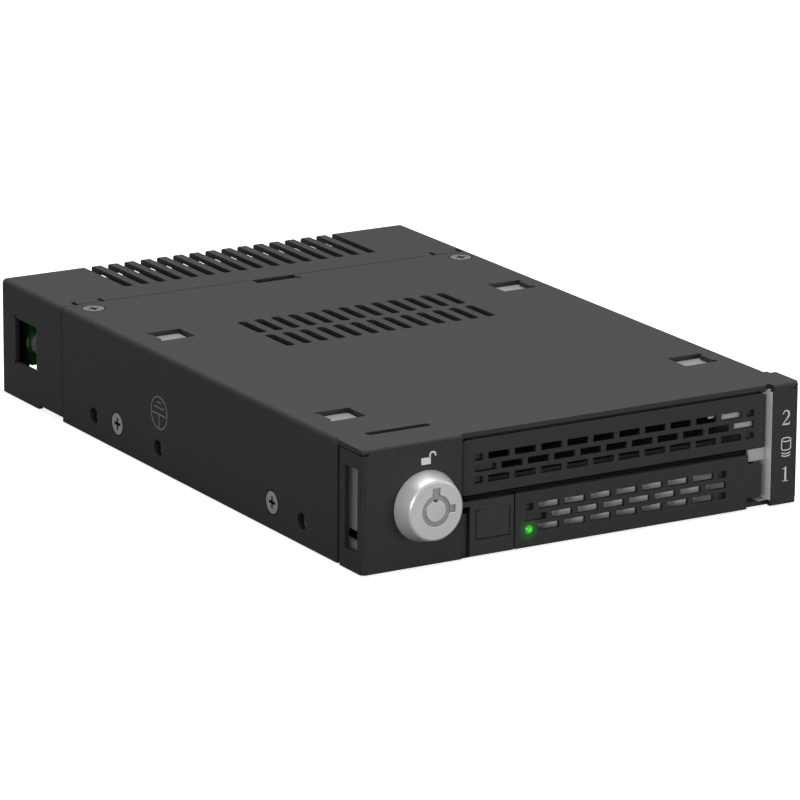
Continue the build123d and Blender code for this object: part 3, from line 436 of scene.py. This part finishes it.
LENS_GLOW = 0.75
LENS_RIM = (0.015, 0.25, 0.008)
LENS_CORE = (0.09, 1.0, 0.045)


def lit_lens():
    """Green status light, lit, brightest in its middle."""
    shader = Shader("lit_lens")
    shader.set(Roughness=0.2)
    shader.colour(shader.noise(900.0, 2.0), (0.01, 0.2, 0.01), (0.02, 0.3, 0.02))
    core = lens_nearness(shader, 0.0, LENS_RADIUS)
    glow = shader.ramp(core, [(0.0, LENS_RIM), (1.0, LENS_CORE)])
    shader.link(glow, shader.surface.inputs["Emission Color"])
    shader.set(Emission_Strength=LENS_GLOW)
    return shader


def printing_ink(name, dark, light):
    """Screen printing, a little uneven."""
    shader = Shader(name)
    shader.set(Roughness=0.6)
    shader.colour(shader.noise(1500.0, 2.0), grey(dark), grey(light))
    return shader


SLOT_MATERIALS = {
    "painted_steel": powder_coat,
    "bare_steel": partial(zinc_sheet, "bare_steel", *BARE_ZINC),
    "lock_metal": satin_nickel,
    "plated_steel": bright_zinc,
    "black_plastic": partial(moulded_plastic, "black_plastic", *BLACK_PLASTIC),
    "connector_plastic": partial(moulded_plastic, "connector_plastic", *CONNECTOR_PLASTIC),
    "green_board": circuit_board,
    "green_lens": lit_lens,
}
SCREW_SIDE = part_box("side_screws")[1][0]
SCREW_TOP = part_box("top_screws")[1][2]
# Materials that single nodes have in place of their slot's
NODE_MATERIALS = (
    (lit_powder_coat, ("lever",)),
    (partial(zinc_sheet, "lit_tray_steel", *LIT_TRAY_ZINC), ("tray_frame",)),
    (wall_steel, ("right_bay_wall",)),
    # The divider takes the darker copy of the zinc: painted shade
    (partial(zinc_sheet, "shaded_divider_steel", *SHADED_DIVIDER_ZINC), ("bay_divider",)),
    (rail_steel, ("left_rail", "right_rail")),
    # The lower flap takes the near-black of painted shade, for the shadowed gap between the doors
    (painted_shade_black, ("lower_flap",)),
    (partial(screw_zinc, "side_screw_zinc", "X", SCREW_SIDE, 0.4, 0.5), ("side_screws",)),
    # The top screws take darker colours than the side screws: a shaded copy, painted shade
    (partial(screw_zinc, "top_screw_zinc", "Z", SCREW_TOP, 0.2, 0.28), ("top_screws",)),
)


def dress_nodes():
    """Give every node of the frame its material. Returns the materials by slot and by node."""
    made = {slot: build().material for slot, build in SLOT_MATERIALS.items()}
    for build, own_nodes in NODE_MATERIALS:
        own = build().material
        made.update({node: own for node in own_nodes})
    for part in frame["record"]["subparts"]:
        node = nodes[part["node"]]
        node.data.materials.clear()
        node.data.materials.append(made.get(part["node"], made[part["material_slot"]]))
    return made


class Flat:
    """Plane of a panel: a corner, its directions across and up, and the way out of the panel."""

    def __init__(self, origin, across, up):
        self.origin = Vector(origin)
        self.across = Vector(across)
        self.up = Vector(up)
        self.out = self.across.cross(self.up)

    def at(self, point, lift):
        """Place of a drawn point, in millimetres, at a height over the panel."""
        return self.origin + (self.across * point[0] + self.up * point[1]) * MM + self.out * lift


def front_flat(depth):
    """Plane that faces the front at a depth; its drawing is in millimetres from the origin."""
    return Flat((0.0, depth, 0.0), TO_RIGHT, UPWARD)


def filled(bm, flat, outline, thickness):
    """Prism over a closed outline."""
    low = [bm.verts.new(flat.at(point, 0.0)) for point in outline]
    high = [bm.verts.new(flat.at(point, thickness)) for point in outline]
    bm.faces.new(list(reversed(low)))
    bm.faces.new(high)
    for i, corner in enumerate(low):
        after = (i + 1) % len(low)
        bm.faces.new((corner, low[after], high[after], high[i]))


def plate(bm, flat, low, high, thickness):
    """Rectangular plate between two corners."""
    filled(bm, flat, [(low[0], low[1]), (high[0], low[1]), (high[0], high[1]), (low[0], high[1])], thickness)


def line(bm, flat, points, widths, thickness, closed=False):
    """Drawn line of one width, or of a width for each point, as a strip with a thickness."""
    widths = widths if isinstance(widths, (list, tuple)) else [widths] * len(points)
    count = len(points)
    rings = []
    for i, point in enumerate(points):
        before = points[i - 1] if closed or i else point
        after = points[(i + 1) % count] if closed or i < count - 1 else point
        run = (Vector(after) - Vector(before)).normalized()
        side = Vector((-run.y, run.x)) * widths[i] / 2
        left, right = Vector(point) + side, Vector(point) - side
        rings.append([bm.verts.new(flat.at(p, h)) for p, h in
                      ((left, 0.0), (right, 0.0), (right, thickness), (left, thickness))])
    for i in range(count if closed else count - 1):
        now, then = rings[i], rings[(i + 1) % count]
        for k in range(4):
            bm.faces.new((now[k], then[k], then[(k + 1) % 4], now[(k + 1) % 4]))
    if not closed:
        bm.faces.new(list(reversed(rings[0])))
        bm.faces.new(rings[-1])


def arc(centre, radii, start, end, count):
    """Points along an arc or an ellipse's arc, with angles in degrees."""
    across, up = radii if isinstance(radii, tuple) else (radii, radii)
    turns = [math.radians(start + (end - start) * i / (count - 1)) for i in range(count)]
    return [(centre[0] + across * math.cos(turn), centre[1] + up * math.sin(turn)) for turn in turns]


def ring(bm, flat, centre, radii, width, thickness, count=48):
    """Drawn circle or ellipse."""
    points = arc(centre, radii, 0.0, 360.0 - 360.0 / count, count)
    line(bm, flat, points, width, thickness, closed=True)


def finish_piece(name, bm, material, body):
    """Object from a mesh being built, with its outward normals, material and body."""
    bmesh.ops.recalc_face_normals(bm, faces=bm.faces)
    mesh = bpy.data.meshes.new(name)
    bm.to_mesh(mesh)
    bm.free()
    mesh.materials.append(material)
    piece = bpy.data.objects.new(name, mesh)
    bpy.context.scene.collection.objects.link(piece)
    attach(piece, body)


INK_THICKNESS = 0.03 * MM


def open_padlock(bm, flat):
    """Open padlock: a body, and a shackle that is swung clear of it."""
    plate(bm, flat, (-1.15, -0.7), (1.0, 0.7), INK_THICKNESS)
    leg = [(0.82, 0.6), (0.82, 1.06)]
    line(bm, flat, leg + arc((1.45, 1.06), 0.63, 180.0, -20.0, 14)[1:], 0.36, INK_THICKNESS)


def number_one(bm, flat):
    """The figure 1 with a flag and a foot."""
    stem = [(-0.2, 0.12), (0.2, 0.12), (0.2, 3.05), (0.02, 3.05), (-0.2, 2.85)]
    foot = [(-0.7, 0.0), (0.75, 0.0), (0.75, 0.13), (-0.7, 0.13)]
    flag = [(-0.75, 2.62), (-0.2, 2.68), (-0.2, 2.87), (-0.7, 2.74)]
    for outline in (stem, foot, flag):
        filled(bm, flat, outline, INK_THICKNESS)


def number_two(bm, flat):
    """The figure 2 with a round head, a waist and a level foot."""
    bowl = arc((-0.02, 2.25), (0.72, 0.78), 172.0, -28.0, 15)
    neck = [(0.36, 1.5), (-0.05, 1.02), (-0.45, 0.6), (-0.78, 0.22)]
    foot = [(-0.88, 0.0), (0.8, 0.0), (0.98, 0.72), (0.86, 0.72), (0.7, 0.34), (-0.88, 0.34)]
    swelling = [0.16 + 0.025 * i for i in range(10)]
    widths = [0.3, 0.22] + swelling + [0.4, 0.4, 0.4, 0.34, 0.24, 0.18, 0.14]
    line(bm, flat, bowl + neck, widths, INK_THICKNESS)
    filled(bm, flat, foot, INK_THICKNESS)


def disk_stack(bm, flat):
    """Round disk drive seen from above its front, over two arcs."""
    width = 0.22
    ring(bm, flat, (0.0, 3.55), (1.12, 0.42), width, INK_THICKNESS, count=24)
    walls = [(-1.12, 3.5)] + arc((0.0, 1.75), (1.12, 0.45), 180.0, 360.0, 13) + [(1.12, 3.5)]
    line(bm, flat, walls, width, INK_THICKNESS)
    for drop in (0.55, 1.1):
        line(bm, flat, arc((0.0, 1.62 - drop), (1.18, 0.5), 205.0, 335.0, 11), width, INK_THICKNESS)


def earth_mark(bm, flat):
    """Round mark of an earth connection."""
    width = 0.24
    ring(bm, flat, (0.0, 0.0), 3.45, width, INK_THICKNESS)
    line(bm, flat, [(0.0, -3.4), (0.0, -0.3)], width, INK_THICKNESS)
    for height, half in ((-0.3, 3.1), (1.1, 2.1), (2.25, 0.85)):
        line(bm, flat, [(-half, height), (half, height)], width, INK_THICKNESS)


# Signs of the right panel: how far their middle lies from its outer edge, and their heights
PANEL_SIGNS_IN = 3.1 * MM
NUMBER_TWO_IN = PANEL_SIGNS_IN + 0.15 * MM
PADLOCK_HEIGHT = 21.35 * MM
NUMBER_TWO_HEIGHT = 16.72 * MM
DISK_HEIGHT = 10.05 * MM
NUMBER_ONE_HEIGHT = 4.78 * MM
EARTH_PLACE = (83.3 * MM, 12.6 * MM)


def add_signs():
    """Printed signs on the front panels, and the earth mark on the left side."""
    lock_x = middle("lock_body").x
    panel_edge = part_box("top_cover")[1][0]
    side_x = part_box("side_screws")[0][0]
    bright = printing_ink("printing_ink", 0.7, 0.8).material
    faint = printing_ink("faint_ink", 0.17, 0.23).material
    fronts = (
        ("open_padlock_sign", open_padlock, lock_x, PADLOCK_HEIGHT),
        ("number_2_sign", number_two, panel_edge - NUMBER_TWO_IN, NUMBER_TWO_HEIGHT),
        ("disk_sign", disk_stack, panel_edge - PANEL_SIGNS_IN, DISK_HEIGHT),
        ("number_1_sign", number_one, panel_edge - PANEL_SIGNS_IN, NUMBER_ONE_HEIGHT),
    )
    signs = [(name, draw, Flat((x, 0.0, z), TO_RIGHT, UPWARD), bright) for name, draw, x, z in fronts]
    signs.append(("earth_sign", earth_mark, Flat((side_x, *EARTH_PLACE), TO_FRONT, UPWARD), faint))
    for name, draw, flat, ink in signs:
        bm = bmesh.new()
        draw(bm, flat)
        finish_piece(name, bm, ink, "chassis")


# Lip: how deep and how high it reaches, in millimetres
LIP_DEPTHS = (0.04, 1.3)
LIP_HEIGHTS = (1.2, 24.0)
LIP_THICKNESS = 0.12 * MM


def add_wall_lip():
    """Bare edge of the right bay wall, folded up to the cut edge of the front panel."""
    bm = bmesh.new()
    flat = Flat((WALL_FACE, 0.0, 0.0), TO_FRONT, UPWARD)
    plate(bm, flat, (-LIP_DEPTHS[1], LIP_HEIGHTS[0]), (-LIP_DEPTHS[0], LIP_HEIGHTS[1]), LIP_THICKNESS)
    # The lip takes the tray's lighter copy of the zinc: painted light
    finish_piece("right_wall_lip", bm, materials["tray_frame"], "chassis")


# Film, in millimetres: its edges from the cover and over the board, and its heights
FILM_FROM_COVER = 1.1
FILM_OVER_BOARD = 0.35
FILM_HEIGHTS = (1.4, 23.6)
FILM_GAP = 0.15 * MM
FILM_THICKNESS = 0.1 * MM


def add_rear_shade_film():
    """Black film that closes the gap between the rear board and the cover's left side: a dark sheet of
    painted shade.
    """
    low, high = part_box("rear_board")
    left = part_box("rear_cover")[0][0] / MM + FILM_FROM_COVER
    right = low[0] / MM + FILM_OVER_BOARD
    bm = bmesh.new()
    flat = front_flat(high[1] + FILM_GAP)
    plate(bm, flat, (left, FILM_HEIGHTS[0]), (right, FILM_HEIGHTS[1]), FILM_THICKNESS)
    # Coloured in the near-black of painted shade
    finish_piece("rear_shade_film", bm, materials["lower_flap"], "chassis")


# Key way: the depth and thickness of its floor, and in millimetres the ring and the slots' corners
KEYWAY_DEPTH = 0.4 * MM
KEYWAY_FLOOR = -0.4 * MM
KEYWAY_RING_RADIUS = 2.69
KEYWAY_RING_WIDTH = 0.94
UPPER_KEY_SLOT = ((-0.88, 3.19), (0.88, 4.62))
RIGHT_KEY_SLOT = ((3.19, -0.78), (4.37, 0.78))


def add_keyway():
    """Floor of the lock's ring and of its two key slots, a little under its face, in a darker nickel that is
    painted shade.
    """
    axis = middle("lock_plug")
    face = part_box("lock_body")[0][1]
    flat = Flat((axis.x, face + KEYWAY_DEPTH, axis.z), TO_RIGHT, UPWARD)
    # Darker copy of the nickel for the floors: painted shade in the groove and the slots
    shaded_floor = satin_nickel("shaded_keyway_nickel", 0.38, 0.44).material
    circle = bmesh.new()
    ring(circle, flat, (0.0, 0.0), KEYWAY_RING_RADIUS, KEYWAY_RING_WIDTH, KEYWAY_FLOOR)
    finish_piece("keyway_ring", circle, shaded_floor, "lock_core")
    slots = bmesh.new()
    for corners in (UPPER_KEY_SLOT, RIGHT_KEY_SLOT):
        plate(slots, flat, *corners, KEYWAY_FLOOR)
    finish_piece("key_slot_floors", slots, shaded_floor, "chassis")


# Strips over the seam of the button, in millimetres: their width, and what they leave open at the top left
SEAM_COVER = 0.22
SEAM_TICK = 0.9
SEAM_COVER_THICKNESS = 0.02 * MM


def add_button_surround():
    """Thin strips that close the seam above, below and to the right of the release button."""
    low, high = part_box("release_button")
    x0, x1, z0, z1 = low[0] / MM, high[0] / MM, low[2] / MM, high[2] / MM
    bm = bmesh.new()
    flat = front_flat(low[1])
    for corners in (((x0 + SEAM_TICK, z1), (x1 + SEAM_COVER, z1 + SEAM_COVER)),
                    ((x0 - SEAM_COVER, z0 - SEAM_COVER), (x1 + SEAM_COVER, z0)),
                    ((x1, z0), (x1 + SEAM_COVER, z1))):
        plate(bm, flat, *corners, SEAM_COVER_THICKNESS)
    flush = moulded_plastic("flush_plastic", *BLACK_PLASTIC, edge=None).material
    finish_piece("button_surround", bm, flush, "tray")


# Holder of the status light, in millimetres: its start from the lever's end, its heights, and the
# reach and heights of its step, from the middle of the light
HOLDER_START = 1.2
HOLDER_HEIGHTS = (1.6, 10.2)
HOLDER_REACH = 1.4
STEP_REACH = 4.6
STEP_HEIGHTS = (1.4, 3.5)
HOLDER_BACK = 1.75 * MM
HOLDER_THICKNESS = 0.5 * MM


def add_light_holder():
    """Black holder of the status light behind the first slots of the lever."""
    lens = middle("led_lens")
    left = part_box("lever")[0][0] / MM + HOLDER_START
    near, far = lens.x / MM + HOLDER_REACH, lens.x / MM + STEP_REACH
    bottom, top = HOLDER_HEIGHTS
    step = [lens.z / MM + height for height in STEP_HEIGHTS]
    outline = [(left, bottom), (near, bottom), (near, step[0]), (far, step[0]),
               (far, step[1]), (near, step[1]), (near, top), (left, top)]
    bm = bmesh.new()
    filled(bm, front_flat(HOLDER_BACK), outline, HOLDER_THICKNESS)
    finish_piece("light_holder", bm, materials["black_plastic"], "lever_arm")


# Slots of both perforated fronts, in millimetres
SLOT_LENGTH, HALF_SLOT, SLOT_HEIGHT, SLOT_PITCH = 4.9, 1.85, 1.4, 6.15
LEVER_ROWS = (8.3, 6.0, 3.8)
LEVER_LAST_SLOT = 29.8
LEVER_END = LEVER_LAST_SLOT + SLOT_LENGTH
CUT_REACH = 2 * MM


def slot_cutter(depth):
    """Object that fills the last column of the lever's slots."""
    staggered = LEVER_LAST_SLOT - SLOT_PITCH / 2
    outer = [(staggered, staggered + SLOT_LENGTH), (LEVER_END - HALF_SLOT, LEVER_END)]
    cuts = bmesh.new()
    for row, spans in zip(LEVER_ROWS, (outer, [(LEVER_LAST_SLOT, LEVER_END)], outer)):
        for start, stop in spans:
            plate(cuts, front_flat(depth + CUT_REACH), (start, row - SLOT_HEIGHT / 2),
                  (stop, row + SLOT_HEIGHT / 2), 2 * CUT_REACH)
    bmesh.ops.recalc_face_normals(cuts, faces=cuts.faces)
    mesh = bpy.data.meshes.new("slot_cuts")
    cuts.to_mesh(mesh)
    cuts.free()
    cutter = bpy.data.objects.new("slot_cuts", mesh)
    bpy.context.scene.collection.objects.link(cutter)
    return cutter


def add_perforated_lever():
    """The lever with one more column of slots at its right end than its solid has."""
    cutter = slot_cutter(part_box("lever")[0][1])
    piece = bpy.data.objects.new("perforated_lever", nodes["lever"].data.copy())
    bpy.context.scene.collection.objects.link(piece)
    cut = piece.modifiers.new("cut", "BOOLEAN")
    cut.operation = "DIFFERENCE"
    cut.solver = "EXACT"
    cut.object = cutter
    bpy.context.view_layer.update()
    carved = bpy.data.meshes.new_from_object(piece.evaluated_get(bpy.context.evaluated_depsgraph_get()))
    piece.modifiers.clear()
    piece.data = carved
    bpy.data.objects.remove(cutter)
    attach(piece, "lever_arm")
    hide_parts("lever")


# Flap, in millimetres: its first slot from its end, the middle of its first row from its top, and its rows
FLAP_MARGIN = 2.8
FLAP_TOP_RIM = 3.85
FLAP_ROW_PITCH = 2.35
FLAP_COLUMNS = 11
# Plates behind the slots: the backs of both sheets, how far behind them the plates end, and how far
# they reach below and above a row's middle
FLAP_BACK = 2.0 * MM
LEVER_BACK = 1.1 * MM
SHADE_BACK = 0.35 * MM
SHADE_THICKNESS = 0.3 * MM
SHADE_DROP, SHADE_RISE = 0.95, 0.8
# How far the plates reach past their slots, to the left and to the right
LEFT_REACH = (0.4, 0.05)
RIGHT_REACH = (0.3, 0.1)
LEVER_REACH = (0.3, 0.05)
# Part of the leaf that shows in one more slot: its start and end before the next, and its drop
GLINT_START, GLINT_END, GLINT_DROP = 1.5, 0.05, 0.35


def slot_shade(bm, back, start, stop, row, drop=SHADE_DROP):
    """Plate behind a slot of a sheet, or behind a part of it."""
    flat = front_flat(back + SHADE_BACK)
    plate(bm, flat, (start, row - drop), (stop, row + SHADE_RISE), SHADE_THICKNESS)


def add_end_shades():
    """Folded ends of the upper flap and of the lever, and a bright leaf, seen through the slots."""
    low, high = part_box("upper_flap")
    first = low[0] / MM + FLAP_MARGIN
    last = first + (FLAP_COLUMNS - 1) * SLOT_PITCH + SLOT_LENGTH
    rows = [high[2] / MM - FLAP_TOP_RIM - FLAP_ROW_PITCH * n for n in range(3)]
    folds, leaf, lever = bmesh.new(), bmesh.new(), bmesh.new()
    for row, length in zip(rows, (HALF_SLOT, SLOT_LENGTH, HALF_SLOT)):
        slot_shade(folds, FLAP_BACK, first - LEFT_REACH[0], first + length + LEFT_REACH[1], row)
        if length == HALF_SLOT:
            slot_shade(folds, FLAP_BACK, last - length - RIGHT_REACH[0], last + RIGHT_REACH[1], row)
    staggered = last - SLOT_PITCH / 2
    for end, row in ((staggered, rows[0]), (last, rows[1])):
        slot_shade(leaf, FLAP_BACK, end - SLOT_LENGTH - RIGHT_REACH[0], end + RIGHT_REACH[1], row)
    previous = staggered - SLOT_PITCH
    slot_shade(leaf, FLAP_BACK, previous - GLINT_START, previous - GLINT_END, rows[0], GLINT_DROP)
    start, stop = LEVER_END - HALF_SLOT - LEVER_REACH[0], LEVER_END + LEVER_REACH[1]
    for row in (LEVER_ROWS[0], LEVER_ROWS[2]):
        slot_shade(lever, LEVER_BACK, start, stop, row)
    finish_piece("upper_flap_folds", folds, materials["painted_steel"], "upper_door")
    finish_piece("upper_flap_leaf", leaf, materials["right_bay_wall"], "upper_door")
    finish_piece("lever_folds", lever, materials["painted_steel"], "lever_arm")


# Finger recess, in millimetres: its floor's and its sill's corners, from the block's left edge
RECESS_FLOOR = ((0.1, 0.15), (1.75, 8.9))
RECESS_SILL = ((-0.12, 0.02), (1.75, 0.14))
RECESS_BACK = 1.45 * MM
FLOOR_THICKNESS = 0.35 * MM
SILL_THICKNESS = 1.15 * MM


def add_recess_floor():
    """Floor of the shallow finger recess beside the end block, and the sill below it."""
    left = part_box("end_block")[0][0] / MM
    bm = bmesh.new()
    for (low, high), thickness in ((RECESS_FLOOR, FLOOR_THICKNESS), (RECESS_SILL, SILL_THICKNESS)):
        plate(bm, front_flat(RECESS_BACK), (left + low[0], low[1]), (left + high[0], high[1]), thickness)
    finish_piece("recess_floor", bm, materials["black_plastic"], "tray")


# Screw rims, painted shade round the heads, in millimetres
HEAD_RADIUS = 2.4
RIM_RADIUS = HEAD_RADIUS + 0.1
RIM_WIDTH = 0.3
RIM_THICKNESS = 0.01 * MM


def add_screw_rims():
    """Dark rims of the countersinks round the flat screw heads: painted shade."""
    dark = materials["lower_flap"]
    low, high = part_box("side_screws")
    rows = [round(low[1] / MM + HEAD_RADIUS, 2), round(high[1] / MM - HEAD_RADIUS, 2)]
    height = middle("side_screws").z / MM
    sides = bmesh.new()
    for x, way in ((low[0], TO_FRONT), (high[0], TO_BACK)):
        flat = Flat((x, 0.0, 0.0), way, UPWARD)
        for row in rows:
            ring(sides, flat, (way[1] * row, height), RIM_RADIUS, RIM_WIDTH, RIM_THICKNESS)
    finish_piece("side_screw_rims", sides, dark, "chassis")
    low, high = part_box("top_screws")
    row = middle("top_screws").y / MM
    tops = bmesh.new()
    flat = Flat((0.0, 0.0, high[2]), TO_RIGHT, TO_BACK)
    for x in (low[0] / MM + HEAD_RADIUS, high[0] / MM - HEAD_RADIUS):
        ring(tops, flat, (x, row), RIM_RADIUS, RIM_WIDTH, RIM_THICKNESS)
    finish_piece("top_screw_rims", tops, dark, "chassis")


add_camera()
add_lights()
add_world()
add_floor()
materials = dress_nodes()
add_signs()
add_wall_lip()
add_rear_shade_film()
add_keyway()
add_button_surround()
add_light_holder()
add_perforated_lever()
add_end_shades()
add_recess_floor()
add_screw_rims()

bpy.context.view_layer.update()
